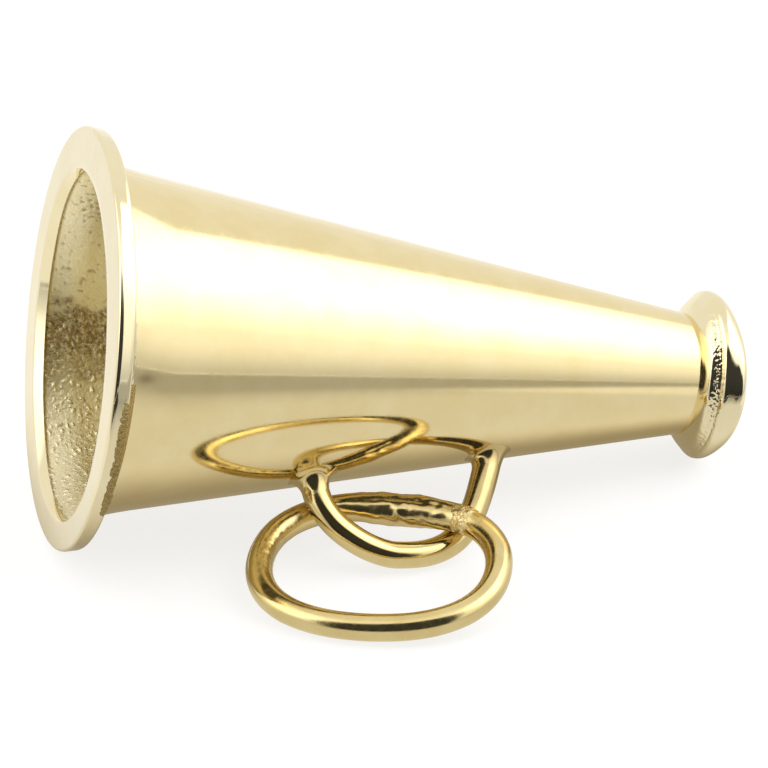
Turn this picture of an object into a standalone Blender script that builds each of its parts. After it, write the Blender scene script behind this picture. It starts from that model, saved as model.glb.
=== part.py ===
"""A gold charm in the shape of a cheerleader's megaphone, with a soldered wire loop and a free oval link.

The charm lies on a table as it does when it is put down: the bell's rim, the mouthpiece's end and the wire
loop rest on it, and the link lies beside it, threaded through the loop. World units are metres, +Z is up, the
bell looks along -X and the loop and link are on the -Y side.
"""

import bmesh
import bpy
from math import asin, cos, pi, radians, sin
from mathutils import Euler, Vector

MM = 0.001

# Horn. Distances along the horn's axis start at the bell's flat face and grow towards the mouthpiece.
BELL_RADIUS = 6.58 * MM
RIM_THICKNESS = 0.57 * MM
RIM_ROUNDING = 0.23 * MM
RIM_BORE_RADIUS = 5.63 * MM
RIM_FLANGE = 0.34 * MM

# The hole in the rim's face was opened by hand, so it is a little oval and off the horn's axis.
MOUTH_RADIUS = 5.27 * MM
MOUTH_SIDEWAYS = 0.03 * MM
MOUTH_DOWN = 0.20 * MM
MOUTH_OVAL = 0.22 * MM
MOUTH_EDGE = 0.03 * MM
MOUTH_TAPER = 0.09 * MM
CONE_FACE_RADIUS = 5.594 * MM
CONE_END_RADIUS = 1.935 * MM
CONE_LENGTH = 20.06 * MM
WALL = 0.35 * MM
SHELL_START = 0.38 * MM
SHELL_END = 20.90 * MM
FLARE_LENGTH = 1.65 * MM
FLARE_HEIGHT = 0.10 * MM
MOUTH_LIP = 0.10 * MM
MOUTH_FLARE_LENGTH = 1.10 * MM
SEAM_WIDTH = 0.26 * MM
SEAM_HEIGHT = 0.24 * MM
SEAM_TOE = 0.05 * MM

# Mouthpiece: a rounded bead, then a fatter lip with the bore.
BEAD_END = 20.535 * MM
BEAD_RADIUS = 2.63 * MM
BEAD_CROWN = 0.12 * MM
BEAD_DROP = 0.03 * MM
LIP_RADIUS = 2.717 * MM
LIP_PEAK = 20.80 * MM
LIP_END = 21.42 * MM
LIP_EDGE_RADIUS = 1.80 * MM
LIP_BACK_CHAMFER = 0.12 * MM
LIP_BACK_EASE = (0.06 * MM, 0.05 * MM)
BORE_ROUNDING = 0.30 * MM
BORE_RADIUS = 1.25 * MM

# Wire loop. Each point is (distance along the axis, distance from the axis). The loop's plane holds the axis.
LOOP_WIRE_RADIUS = 0.43 * MM
LOOP_BELOW_LEVEL = radians(38.5)
LOOP_FRONT_FOOT = 7.57 * MM
LOOP_BOTTOM = (10.07 * MM, 6.675 * MM)
LOOP_REAR_FOOT = 13.40 * MM
LOOP_FRONT_LEAN = radians(-4.0)
LOOP_REAR_LEAN = radians(-17.0)
LOOP_FRONT_HANDLES = (1.67 * MM, 0.80 * MM)
LOOP_REAR_HANDLES = (2.30 * MM, 2.35 * MM)
LOOP_POINTS = 26
FOOT_DEPTH = 0.35 * MM
FOOT_BELOW_SURFACE = 0.10 * MM
FILLET_HEIGHT = 0.55 * MM
FILLET_WIDTH = 0.48 * MM
FILLET_START = 0.10 * MM
FILLET_SUNK = 0.55 * MM
FILLET_TOP_EDGE = 0.05 * MM
HORN_CUTTER_OVERRUN = 3 * MM

# Link. The swing axis is level and runs along X through the stretch of the link that the loop holds.
LINK_WIRE_RADIUS = 0.43 * MM
LINK_HALF_LENGTH = 3.748 * MM
LINK_HALF_WIDTH = 2.850 * MM
LINK_SQUARENESS = 0.019
LINK_CENTRE = (8.320 * MM, -6.353 * MM, 0.906 * MM)
LINK_TILT_X = radians(8.76)
LINK_TILT_Y = radians(-6.05)
LINK_TURN = radians(-22.5)
LINK_POINTS = 88
LINK_PIVOT = (8.320 * MM, -4.25 * MM, 1.25 * MM)
SOLDER_ANGLE = radians(52.0)
SOLDER_HALF_ANGLE = radians(4.5)
SOLDER_BULGE = 1.10

GAP = 0.015 * MM
STEPS = 96
MOUTHPIECE_STEPS = 72
FILLET_STEPS = 40
SOLDER_POINTS = 8
WIRE_SIDES_RESOLUTION = 4
MERGE = 1e-7

CONE_SLOPE = (CONE_FACE_RADIUS - CONE_END_RADIUS) / CONE_LENGTH
AXIS_TILT = asin((BELL_RADIUS - LIP_RADIUS) / LIP_PEAK)


def clear_scene():
    for obj in list(bpy.data.objects):
        bpy.data.objects.remove(obj, do_unlink=True)


def new_collection(name):
    collection = bpy.data.collections.new(name)
    bpy.context.scene.collection.children.link(collection)
    return collection


def gold(name, colour, roughness):
    material = bpy.data.materials.new(name)
    material.use_nodes = True
    shader = material.node_tree.nodes["Principled BSDF"]
    shader.inputs["Base Color"].default_value = (*colour, 1.0)
    shader.inputs["Metallic"].default_value = 1.0
    shader.inputs["Roughness"].default_value = roughness
    return material


def new_object(name, data, collection, parent, material=None):
    obj = bpy.data.objects.new(name, data)
    collection.objects.link(obj)
    obj.parent = parent
    if material:
        data.materials.append(material)
    return obj


def empty(name, parent, location=(0, 0, 0)):
    obj = bpy.data.objects.new(name, None)
    parts.objects.link(obj)
    obj.parent = parent
    obj.location = location
    obj.empty_display_size = 2 * MM
    return obj


def hide(cutter):
    cutter.hide_render = True
    cutter.display_type = "WIRE"


def smooth_by_angle(mesh, degrees=32.0):
    mesh.shade_smooth()
    mesh.set_sharp_from_angle(angle=radians(degrees))


def arc(along, radius, half_along, half_radius, first, last, count):
    """Points (distance along the axis, radius) on an ellipse. 90 degrees is outward, 0 the mouthpiece."""
    points = []
    for i in range(count + 1):
        angle = radians(first + (last - first) * i / count)
        points.append((along + half_along * cos(angle), radius + half_radius * sin(angle)))
    return points


def turned(name, profile, collection, parent, material=None, steps=STEPS):
    """A ring turned about local Z. Its closed profile runs down the outer side from the mouthpiece end."""
    mesh = bpy.data.meshes.new(name)
    points = [(radius, 0.0, along) for along, radius in profile]
    edges = [(i, (i + 1) % len(points)) for i in range(len(points))]
    mesh.from_pydata(points, edges, [])
    obj = new_object(name, mesh, collection, parent, material)
    screw = obj.modifiers.new("Turn", "SCREW")
    screw.axis = "Z"
    screw.angle = 2 * pi
    screw.steps = steps
    screw.render_steps = steps
    screw.use_merge_vertices = True
    screw.merge_threshold = MERGE
    screw.use_smooth_shade = True
    return obj


def cone_radius(along):
    """Outer radius of the horn, with the soft flare behind the bell's rim."""
    flare = max(0.0, (RIM_THICKNESS + FLARE_LENGTH - along) / FLARE_LENGTH)
    return CONE_FACE_RADIUS - CONE_SLOPE * along + FLARE_HEIGHT * min(flare, 1.0) ** 2


def bore_radius(along):
    """Inner radius of the horn, which opens out to a thin lip at its mouth."""
    flare = max(0.0, (SHELL_START + MOUTH_FLARE_LENGTH - along) / MOUTH_FLARE_LENGTH)
    plain = CONE_FACE_RADIUS - CONE_SLOPE * along - WALL
    lip = cone_radius(SHELL_START) - MOUTH_LIP
    plain_at_mouth = CONE_FACE_RADIUS - CONE_SLOPE * SHELL_START - WALL
    return plain + (lip - plain_at_mouth) * flare ** 2


def stations(first, last, count):
    return [first + (last - first) * i / count for i in range(count + 1)]


def horn_shell():
    flare_end = RIM_THICKNESS + FLARE_LENGTH
    outer = stations(SHELL_END, flare_end, 8) + stations(flare_end, SHELL_START, 6)[1:]
    inner = stations(SHELL_START, SHELL_START + MOUTH_FLARE_LENGTH, 6)
    inner += stations(SHELL_START + MOUTH_FLARE_LENGTH, SHELL_END, 8)[1:]
    profile = [(s, cone_radius(s)) for s in outer] + [(s, bore_radius(s)) for s in inner]
    return turned("horn_shell", profile, parts, horn_axis, polished_gold)


def mouth_radius(angle):
    """The hole's radius at an angle about the horn. 0 is level at the loop's side and 90 degrees is the top."""
    return MOUTH_RADIUS + MOUTH_SIDEWAYS * cos(angle) - MOUTH_DOWN * sin(angle) - MOUTH_OVAL * sin(2 * angle)


def bell_rim():
    """The rounded rim, with a thin flange at its front that leaves the hand-opened hole."""
    corner = BELL_RADIUS - RIM_ROUNDING
    outer = arc(RIM_THICKNESS - RIM_ROUNDING, corner, RIM_ROUNDING, RIM_ROUNDING, 0, 90, 5)
    outer += arc(RIM_ROUNDING, corner, RIM_ROUNDING, RIM_ROUNDING, 90, 180, 6)[1:]
    verts = []
    for i in range(STEPS):
        angle = 2 * pi * i / STEPS
        hole = mouth_radius(angle)
        inner = [(0.0, hole + MOUTH_EDGE), (MOUTH_EDGE, hole), (RIM_FLANGE - MOUTH_EDGE, hole - MOUTH_TAPER),
                 (RIM_FLANGE, hole - MOUTH_TAPER + MOUTH_EDGE), (RIM_FLANGE, RIM_BORE_RADIUS),
                 (RIM_THICKNESS, RIM_BORE_RADIUS)]
        verts += [(-radius * sin(angle), -radius * cos(angle), along) for along, radius in outer + inner]
    count = len(outer) + len(inner)
    faces = []
    for i in range(STEPS):
        here, beyond = i * count, (i + 1) % STEPS * count
        for j in range(count):
            k = (j + 1) % count
            faces.append((here + j, here + k, beyond + k, beyond + j))
    mesh = bpy.data.meshes.new("bell_rim")
    mesh.from_pydata(verts, [], faces)
    fix = bmesh.new()
    fix.from_mesh(mesh)
    bmesh.ops.recalc_face_normals(fix, faces=fix.faces)
    fix.to_mesh(mesh)
    fix.free()
    smooth_by_angle(mesh)
    return new_object("bell_rim", mesh, parts, horn_axis, polished_gold)


def rim_solder_seam():
    """The fillet of solder in the corner between the rim's back and the horn."""
    start = RIM_THICKNESS + GAP
    toe = start + SEAM_WIDTH
    foot = cone_radius(toe) + GAP
    profile = arc(toe, foot + SEAM_TOE + SEAM_HEIGHT, SEAM_WIDTH, SEAM_HEIGHT, 270, 180, 5)
    profile += [(s, cone_radius(s) + GAP) for s in stations(start, toe, 3)]
    return turned("rim_solder_seam", profile, parts, horn_axis, satin_gold)


def mouthpiece_bead():
    seat = CONE_END_RADIUS + GAP
    start = CONE_LENGTH + GAP
    crown = BEAD_END - BEAD_CROWN
    profile = [(BEAD_END, BEAD_RADIUS - BEAD_DROP)]
    profile += arc(crown, seat, crown - start, BEAD_RADIUS - seat, 90, 180, 8)
    profile.append((BEAD_END, seat))
    return turned("mouthpiece_bead", profile, parts, horn_axis, polished_gold, MOUTHPIECE_STEPS)


def mouthpiece_lip():
    start = BEAD_END + GAP
    seat = cone_radius(start) + GAP
    step = SHELL_END + GAP
    face = LIP_EDGE_RADIUS - BORE_RADIUS
    profile = arc(LIP_END - BORE_ROUNDING, LIP_EDGE_RADIUS, BORE_ROUNDING, face, 270, 360, 5)
    profile += arc(LIP_PEAK, LIP_EDGE_RADIUS, LIP_END - LIP_PEAK, LIP_RADIUS - LIP_EDGE_RADIUS, 0, 90, 9)[1:]
    profile.append((start + LIP_BACK_EASE[0], LIP_RADIUS - LIP_BACK_EASE[1]))
    profile.append((start, LIP_RADIUS - LIP_BACK_CHAMFER))
    profile += [(start, seat), (step, seat), (step, BORE_RADIUS)]
    return turned("mouthpiece_lip", profile, parts, horn_axis, polished_gold, MOUTHPIECE_STEPS)


def horn_point(along, out):
    """A point of the loop's plane in the horn's own axes."""
    return Vector((out * sin(LOOP_BELOW_LEVEL), -out * cos(LOOP_BELOW_LEVEL), along))


def bezier(p0, p1, p2, p3, count):
    points = []
    for i in range(count + 1):
        t = i / count
        u = 1 - t
        points.append(p0 * u**3 + p1 * (3 * u * u * t) + p2 * (3 * u * t * t) + p3 * t**3)
    return points


def loop_route():
    """The loop's centre line from the front foot to the rear foot, both ends sunk a little into the horn."""
    front = Vector((LOOP_FRONT_FOOT, cone_radius(LOOP_FRONT_FOOT) - FOOT_BELOW_SURFACE))
    rear = Vector((LOOP_REAR_FOOT, cone_radius(LOOP_REAR_FOOT) - FOOT_BELOW_SURFACE))
    bottom = Vector(LOOP_BOTTOM)
    front_way = Vector((sin(LOOP_FRONT_LEAN), cos(LOOP_FRONT_LEAN)))
    rear_way = Vector((sin(LOOP_REAR_LEAN), cos(LOOP_REAR_LEAN)))
    level = Vector((1, 0))
    route = bezier(front, front + front_way * LOOP_FRONT_HANDLES[0], bottom - level * LOOP_FRONT_HANDLES[1],
                   bottom, LOOP_POINTS)
    route += bezier(bottom, bottom + level * LOOP_REAR_HANDLES[0], rear + rear_way * LOOP_REAR_HANDLES[1],
                    rear, LOOP_POINTS)[1:]
    route = [front - front_way * FOOT_DEPTH] + route + [rear - rear_way * FOOT_DEPTH]
    return [horn_point(*point) for point in route], horn_point(*front_way), horn_point(*rear_way)


def tube(name, route, radius, collection, parent, material=None, radii=None, cyclic=False):
    """A round wire along the route, as a closed mesh."""
    curve = bpy.data.curves.new(name, "CURVE")
    curve.dimensions = "3D"
    curve.bevel_depth = radius
    curve.bevel_resolution = WIRE_SIDES_RESOLUTION
    curve.use_fill_caps = True
    spline = curve.splines.new("POLY")
    spline.points.add(len(route) - 1)
    for i, point in enumerate(route):
        spline.points[i].co = (*point, 1.0)
        spline.points[i].radius = radii[i] if radii else 1.0
    spline.use_cyclic_u = cyclic
    wire = new_object(name + "_wire", curve, collection, parent)
    bpy.context.view_layer.update()
    graph = bpy.context.evaluated_depsgraph_get()
    mesh = bpy.data.meshes.new_from_object(wire.evaluated_get(graph))
    mesh.name = name
    body = bmesh.new()
    body.from_mesh(mesh)
    bmesh.ops.remove_doubles(body, verts=body.verts, dist=MERGE)
    bmesh.ops.recalc_face_normals(body, faces=body.faces)
    body.to_mesh(mesh)
    body.free()
    mesh.materials.clear()
    obj = new_object(name, mesh, collection, parent, material)
    obj.matrix_world = wire.matrix_world
    bpy.data.objects.remove(wire, do_unlink=True)
    smooth_by_angle(mesh)
    return obj


def cut(obj, cutter):
    boolean = obj.modifiers.new("Cut", "BOOLEAN")
    boolean.operation = "DIFFERENCE"
    boolean.solver = "EXACT"
    boolean.object = cutter


def horn_cutter():
    """A solid horn, larger than the shell by the gap that touching pieces keep."""
    ends = (LOOP_FRONT_FOOT - HORN_CUTTER_OVERRUN, LOOP_REAR_FOOT + HORN_CUTTER_OVERRUN)
    mesh = bpy.data.meshes.new("horn_cutter")
    body = bmesh.new()
    radii = [cone_radius(s) + GAP for s in ends]
    bmesh.ops.create_cone(body, cap_ends=True, segments=STEPS, radius1=radii[0], radius2=radii[1],
                          depth=ends[1] - ends[0])
    bmesh.ops.translate(body, verts=body.verts, vec=(0, 0, (ends[0] + ends[1]) / 2))
    body.to_mesh(mesh)
    body.free()
    cutter = new_object("horn_cutter", mesh, cutters, horn_axis)
    hide(cutter)
    return cutter


def handle_loop(cutter):
    route, front_way, rear_way = loop_route()
    loop = tube("handle_loop", route, LOOP_WIRE_RADIUS, parts, horn_axis, polished_gold)
    cut(loop, cutter)
    clearance = tube("loop_cutter", route, LOOP_WIRE_RADIUS + GAP, cutters, horn_axis)
    hide(clearance)
    feet = (("front_solder_fillet", route[1], front_way), ("rear_solder_fillet", route[-2], rear_way))
    for name, foot, way in feet:
        fillet = solder_fillet(name, foot, way)
        cut(fillet, cutter)
        cut(fillet, clearance)


def solder_fillet(name, foot, way):
    """A flared collar round one foot of the loop. Its hollow side is a quarter ellipse."""
    top = FILLET_START + FILLET_HEIGHT
    outer = LOOP_WIRE_RADIUS + FILLET_TOP_EDGE + FILLET_WIDTH
    profile = arc(top, outer, FILLET_HEIGHT, FILLET_WIDTH, 270, 180, 7)
    profile += [(-FILLET_SUNK, outer), (-FILLET_SUNK, 0.0), (top, 0.0)]
    collar = turned(name, profile, parts, horn_axis, satin_gold, FILLET_STEPS)
    collar.location = foot
    collar.rotation_euler = way.to_track_quat("Z", "X").to_euler()
    return collar


def link_point(angle):
    """The link's centre line: an oval with slightly square shoulders."""
    stretch = 1 - LINK_SQUARENESS * cos(4 * angle)
    return Vector((LINK_HALF_LENGTH * cos(angle), LINK_HALF_WIDTH * sin(angle), 0.0)) * stretch


def link_frame():
    frame = empty("link_frame", link_pivot, Vector(LINK_CENTRE) - Vector(LINK_PIVOT))
    frame.rotation_euler = Euler((LINK_TILT_X, LINK_TILT_Y, LINK_TURN), "ZXY")
    frame.rotation_mode = "ZXY"
    return frame


def link_ring(frame):
    first = SOLDER_ANGLE + SOLDER_HALF_ANGLE
    sweep = 2 * pi - 2 * SOLDER_HALF_ANGLE
    route = [link_point(first + sweep * i / LINK_POINTS) for i in range(LINK_POINTS + 1)]
    return tube("link_ring", route, LINK_WIRE_RADIUS, parts, frame, polished_gold)


def link_solder(frame):
    """The lump of solder that closes the link between the wire's two ends."""
    half = SOLDER_HALF_ANGLE - GAP / LINK_HALF_WIDTH
    steps = [i / SOLDER_POINTS for i in range(SOLDER_POINTS + 1)]
    route = [link_point(SOLDER_ANGLE - half + 2 * half * step) for step in steps]
    radii = [1.0 + (SOLDER_BULGE - 1.0) * sin(pi * step) for step in steps]
    return tube("link_solder", route, LINK_WIRE_RADIUS, parts, frame, satin_gold, radii)


def stand_on_origin(root):
    """Moves the whole charm so that the origin is under the middle of its box."""
    bpy.context.view_layer.update()
    graph = bpy.context.evaluated_depsgraph_get()
    corners = []
    for obj in parts.objects:
        if obj.type == "MESH":
            shape = obj.evaluated_get(graph)
            corners += [shape.matrix_world @ vertex.co for vertex in shape.data.vertices]
    low = [min(corner[i] for corner in corners) for i in range(3)]
    high = [max(corner[i] for corner in corners) for i in range(3)]
    root.location = (-(low[0] + high[0]) / 2, -(low[1] + high[1]) / 2, -low[2])


clear_scene()
parts = new_collection("megaphone_charm")
cutters = new_collection("cutters")
polished_gold = gold("polished_gold", (0.86, 0.74, 0.44), 0.12)
satin_gold = gold("satin_gold", (0.80, 0.66, 0.36), 0.30)

root = empty("charm_origin", None)
horn_axis = empty("horn_axis", root, (0, 0, BELL_RADIUS * cos(AXIS_TILT)))
horn_axis.rotation_euler = (0, pi / 2 + AXIS_TILT, 0)
link_pivot = empty("link_pivot", root, LINK_PIVOT)

horn_shell()
bell_rim()
rim_solder_seam()
mouthpiece_bead()
mouthpiece_lip()
handle_loop(horn_cutter())
frame_of_link = link_frame()
link_ring(frame_of_link)
link_solder(frame_of_link)
stand_on_origin(root)
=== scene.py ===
"""The looks of a gold megaphone charm: a polished horn with a rough cast bore, a wire loop and a free link.

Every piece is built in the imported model's own frame, in metres. The horn's axis is found from the CAD boxes.
"""

from math import cos, pi, radians, sin

import bpy
import numpy as np
from mathutils import Euler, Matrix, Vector, noise


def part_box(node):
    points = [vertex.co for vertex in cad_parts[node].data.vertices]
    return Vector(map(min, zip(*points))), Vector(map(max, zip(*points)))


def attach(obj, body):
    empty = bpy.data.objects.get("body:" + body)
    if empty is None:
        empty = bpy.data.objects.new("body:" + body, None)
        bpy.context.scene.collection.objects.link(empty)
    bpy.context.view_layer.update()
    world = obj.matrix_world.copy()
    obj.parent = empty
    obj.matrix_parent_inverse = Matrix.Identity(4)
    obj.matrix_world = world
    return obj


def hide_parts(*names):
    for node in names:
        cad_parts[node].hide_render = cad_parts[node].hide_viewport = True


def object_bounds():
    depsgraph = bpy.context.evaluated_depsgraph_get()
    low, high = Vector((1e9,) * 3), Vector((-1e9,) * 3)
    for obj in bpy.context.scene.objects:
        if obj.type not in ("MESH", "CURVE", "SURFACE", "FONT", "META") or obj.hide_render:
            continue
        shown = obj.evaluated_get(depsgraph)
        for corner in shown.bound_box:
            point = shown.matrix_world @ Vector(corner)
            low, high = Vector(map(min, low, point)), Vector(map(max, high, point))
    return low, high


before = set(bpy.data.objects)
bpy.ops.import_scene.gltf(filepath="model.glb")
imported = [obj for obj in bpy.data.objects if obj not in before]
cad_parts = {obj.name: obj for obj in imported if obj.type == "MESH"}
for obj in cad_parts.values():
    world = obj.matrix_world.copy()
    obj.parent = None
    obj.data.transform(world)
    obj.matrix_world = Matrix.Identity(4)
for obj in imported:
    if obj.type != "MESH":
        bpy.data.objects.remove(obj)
cad_box = [list(corner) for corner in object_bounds()]

MM = 0.001

# The horn, as the CAD has it. Distances along the axis start at the bell's flat face.
AXIS_TILT = radians(10.703)
BELL_RADIUS = 6.58 * MM
RIM_THICKNESS = 0.57 * MM
RIM_ROUNDING = 0.23 * MM
RIM_BORE = 5.63 * MM
RIM_FLANGE = 0.34 * MM
CONE_FACE = 5.594 * MM
CONE_TIP = 1.935 * MM
CONE_END = 20.06 * MM
CONE_SLOPE = (CONE_FACE - CONE_TIP) / CONE_END
FLARE_LENGTH = 1.65 * MM
FLARE_HEIGHT = 0.10 * MM
WALL = 0.35 * MM
SHELL_START = 0.38 * MM
SHELL_END = 20.90 * MM
BORE_FLARE = 1.10 * MM
BORE_LIP = 0.10 * MM
LIP_END = 21.42 * MM
LIP_EDGE = 1.80 * MM
MOUTHPIECE_BORE = 1.25 * MM

# The hole in the rim's face
MOUTH_RADIUS = 5.27 * MM
MOUTH_SIDEWAYS = 0.03 * MM
MOUTH_DOWN = 0.20 * MM
MOUTH_OVAL = 0.22 * MM
MOUTH_WANDER = 0.025 * MM
SLANT_LEAST = 0.05 * MM
SLANT_MORE = 0.19 * MM
FLANGE_BACK = 0.29 * MM
BORE_START = 0.30 * MM

# The wire's radius, and the loop: its plane, its feet on the horn and (along, from the axis) at its bottom
WIRE = 0.43 * MM
LOOP_BELOW_LEVEL = radians(38.5)
LOOP_FRONT = 7.57 * MM
LOOP_REAR = 13.40 * MM
FRONT_LEAN = radians(-4.0)
REAR_LEAN = radians(-17.0)
LOOP_BOTTOM = np.array([10.07, 6.675]) * MM

# The link: half its length and width, how square it is, how it is turned and where its solder is
LINK_HALF = (3.748 * MM, 2.850 * MM)
LINK_SQUARENESS = 0.019
LINK_TURNS = (radians(8.76), radians(-6.05), radians(-22.5))
SOLDER_ANGLE = radians(52.0)

# The camera, from the middle of the CAD box
CAMERA_AIM = Vector((-0.695, -0.712, -1.503)) * MM
CAMERA_DISTANCE = 139.11 * MM
CAMERA_AZIMUTH = radians(-13.009)
CAMERA_ELEVATION = radians(29.423)
CAMERA_LENS = 210.94
CAMERA_SENSOR = 36.0


# ---------------------------------------------------------------- the horn's own axes
def horn_origin():
    """The middle of the bell's flat face. The rim's box fixes it, because the rim is round about the axis."""
    low, high = (Vector(corner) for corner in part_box("bell_rim"))
    arm = BELL_RADIUS - RIM_ROUNDING
    x = low.x - (RIM_ROUNDING * cos(AXIS_TILT) - arm * sin(AXIS_TILT) - RIM_ROUNDING)
    z = low.z + RIM_ROUNDING * sin(AXIS_TILT) + arm * cos(AXIS_TILT) + RIM_ROUNDING
    return np.array([x, (low.y + high.y) / 2, z])


HORN = horn_origin()
ALONG = np.array([cos(AXIS_TILT), 0.0, -sin(AXIS_TILT)])
SIDE = np.array([0.0, -1.0, 0.0])
TOP = np.array([sin(AXIS_TILT), 0.0, cos(AXIS_TILT)])
LOOP_OUT = cos(LOOP_BELOW_LEVEL) * SIDE - sin(LOOP_BELOW_LEVEL) * TOP
LOOP_NORMAL = np.cross(ALONG, LOOP_OUT)


def cone_radius(s):
    """The horn's outer face, which flares a little behind the rim."""
    flare = np.clip((RIM_THICKNESS + FLARE_LENGTH - s) / FLARE_LENGTH, 0.0, 1.0)
    return CONE_FACE - CONE_SLOPE * s + FLARE_HEIGHT * flare ** 2


def bore_radius(s):
    """The horn's inner face, which opens out to meet the rim."""
    flare = np.clip((SHELL_START + BORE_FLARE - s) / BORE_FLARE, 0.0, 1.0)
    plain = CONE_FACE - CONE_SLOPE * s - WALL
    at_mouth = CONE_FACE - CONE_SLOPE * SHELL_START - WALL
    return plain + (cone_radius(SHELL_START) - BORE_LIP - at_mouth) * flare ** 2


def on_horn(s, r, phi):
    """A point from its place along the axis, its distance from it and its angle, 0 on the loop's side."""
    out = np.cos(phi)[..., None] * SIDE + np.sin(phi)[..., None] * TOP
    return HORN + s[..., None] * ALONG + r[..., None] * out


def to_cone(point, lift=0.0):
    """The point moved straight out from the axis, onto the horn's outer face."""
    s = (point - HORN) @ ALONG
    out = point - HORN - s * ALONG
    return HORN + s * ALONG + out / np.linalg.norm(out) * (cone_radius(s) + lift)


def kept_in_wall(points, depth=0.16 * MM):
    """The points, with those that would come out through the horn's wall held inside it."""
    s = (points - HORN) @ ALONG
    out = points - HORN - s[..., None] * ALONG
    away = np.linalg.norm(out, axis=-1)
    held = np.maximum(away, cone_radius(s) - depth) / away
    return HORN + s[..., None] * ALONG + out * held[..., None]


# ---------------------------------------------------------------- falloffs, noise and curves
def climb(value, start, length):
    """0 up to the start, rising evenly to 1 over the length."""
    return np.clip((value - start) / length, 0.0, 1.0)


def bump_at(angle, middle, half):
    """1 at the middle angle, falling smoothly to 0 at the half width."""
    away = np.abs((angle - middle + pi) % (2 * pi) - pi) / half
    return np.where(away < 1, 0.5 + 0.5 * np.cos(pi * np.minimum(away, 1)), 0.0)


def bell_curve(value, middle, half):
    """1 at the middle, falling off on both sides without an end."""
    return np.exp(-((value - middle) / half) ** 2)


def fractal(points, size, octaves=2, seed=0.0):
    """Smooth noise from -1 to 1 at each point, with features of the given size."""
    shift = Vector((seed, seed * 0.7, -seed))
    places = points.reshape(-1, 3).tolist()
    values = np.zeros(len(places))
    for octave in range(octaves):
        scale = 2 ** octave / size
        values += [noise.noise(Vector(p) * scale + shift) / 2 ** octave for p in places]
    return values.reshape(points.shape[:-1])


def arc(s, r, half_s, half_r, first, last, count):
    """Points (along, radius) on an arc, from the first to the last angle in degrees."""
    angles = np.radians(np.linspace(first, last, count + 1))
    return list(zip(s + half_s * np.cos(angles), r + half_r * np.sin(angles)))


def smooth_line(points, steps):
    """Points (along, radius) in mm, joined by a smooth curve through each of them, as points in metres."""
    p = np.array(points) * MM
    p = np.concatenate([[2 * p[0] - p[1]], p, [2 * p[-1] - p[-2]]])
    t = np.linspace(0.0, 1.0, steps, endpoint=False)[:, None]
    line = []
    for a, b, c, d in zip(p[:-3], p[1:-2], p[2:-1], p[3:]):
        line.append(b + 0.5 * t * (c - a + t * (2 * a - 5 * b + 4 * c - d + t * (3 * (b - c) + d - a))))
    return [tuple(q) for q in np.concatenate(line)] + [tuple(p[-2])]


def bezier(p, count):
    """Points on the curve from p[0] to p[3] that p[1] and p[2] pull on."""
    t = np.linspace(0.0, 1.0, count + 1)[:, None]
    u = 1 - t
    return p[0] * u ** 3 + p[1] * 3 * u * u * t + p[2] * 3 * u * t * t + p[3] * t ** 3


# ---------------------------------------------------------------- mesh building
def grid_mesh(name, rows, wrap_rows, wrap_columns, cap_ends=False, sharp=38.0):
    """A mesh from a grid of points, rows by columns by 3, with a UV map in metres along the columns and rows.

    sharp is the angle in degrees from which an edge is drawn sharp.
    """
    n, m = rows.shape[:2]
    i = np.arange(n if wrap_rows else n - 1)
    j = np.arange(m if wrap_columns else m - 1)
    i, j = (a.ravel() for a in np.meshgrid(i, j, indexing="ij"))
    i2, j2 = (i + 1) % n, (j + 1) % m
    quads = np.stack([i * m + j, i * m + j2, i2 * m + j2, i2 * m + j], 1)
    verts = rows.reshape(-1, 3)
    a, b, c, d = (verts[quads[:, k]] for k in range(4))
    volume = np.einsum("ij,ij->i", a, np.cross(b, c) + np.cross(c, d)).sum()
    step_u = np.linalg.norm(np.roll(rows, -1, 1) - rows, axis=2).mean(0)
    step_v = np.linalg.norm(np.roll(rows, -1, 0) - rows, axis=2).mean(1)
    u = np.concatenate([[0], np.cumsum(step_u)])
    v = np.concatenate([[0], np.cumsum(step_v)])
    uv = np.stack([np.stack([u[j], v[i]], 1), np.stack([u[j + 1], v[i]], 1),
                   np.stack([u[j + 1], v[i + 1]], 1), np.stack([u[j], v[i + 1]], 1)], 1)
    if volume < 0:
        quads, uv = quads[:, ::-1], uv[:, ::-1]
    faces = quads.tolist()
    if cap_ends:
        first, last = list(range(m)), list(range((n - 1) * m, n * m))
        faces += [first[::-1], last] if volume > 0 else [first, last[::-1]]
    mesh = bpy.data.meshes.new(name)
    mesh.from_pydata(verts.tolist(), [], faces)
    layer = mesh.uv_layers.new(name="metres")
    flat = np.zeros((len(mesh.loops), 2))
    flat[:len(uv) * 4] = uv.reshape(-1, 2)
    layer.data.foreach_set("uv", flat.ravel())
    mesh.shade_smooth()
    mesh.set_sharp_from_angle(angle=radians(sharp))
    obj = bpy.data.objects.new(name, mesh)
    bpy.context.scene.collection.objects.link(obj)
    return obj


def set_values(obj, name, values):
    """A value for each point of the mesh, which its material reads by name."""
    layer = obj.data.attributes.new(name, "FLOAT", "POINT")
    layer.data.foreach_set("value", np.clip(values, 0.0, 1.0).ravel().astype(np.float32))


def set_second_material(obj, material, faces):
    """A second material on the grid's faces where faces is true."""
    obj.data.materials.append(material)
    obj.data.polygons.foreach_set("material_index", faces.ravel().astype(np.int32))


def add_piece(obj, body, slot, material, *nodes):
    """The object rides on the body, and is seen in place of the CAD nodes."""
    obj.data.materials.append(material)
    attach(obj, body)
    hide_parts(*nodes)


def round_angles(columns):
    """Even steps round the circle."""
    return 2 * pi * np.arange(columns) / columns


def turned(profile, columns):
    """A row for each point (along, radius) of a closed profile: s, r and angles. A radius may be a row."""
    s = np.stack([np.full(columns, along) for along, radius in profile])
    r = np.stack([np.broadcast_to(radius, columns) for along, radius in profile])
    return s, r, np.tile(round_angles(columns), (len(profile), 1))


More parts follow.
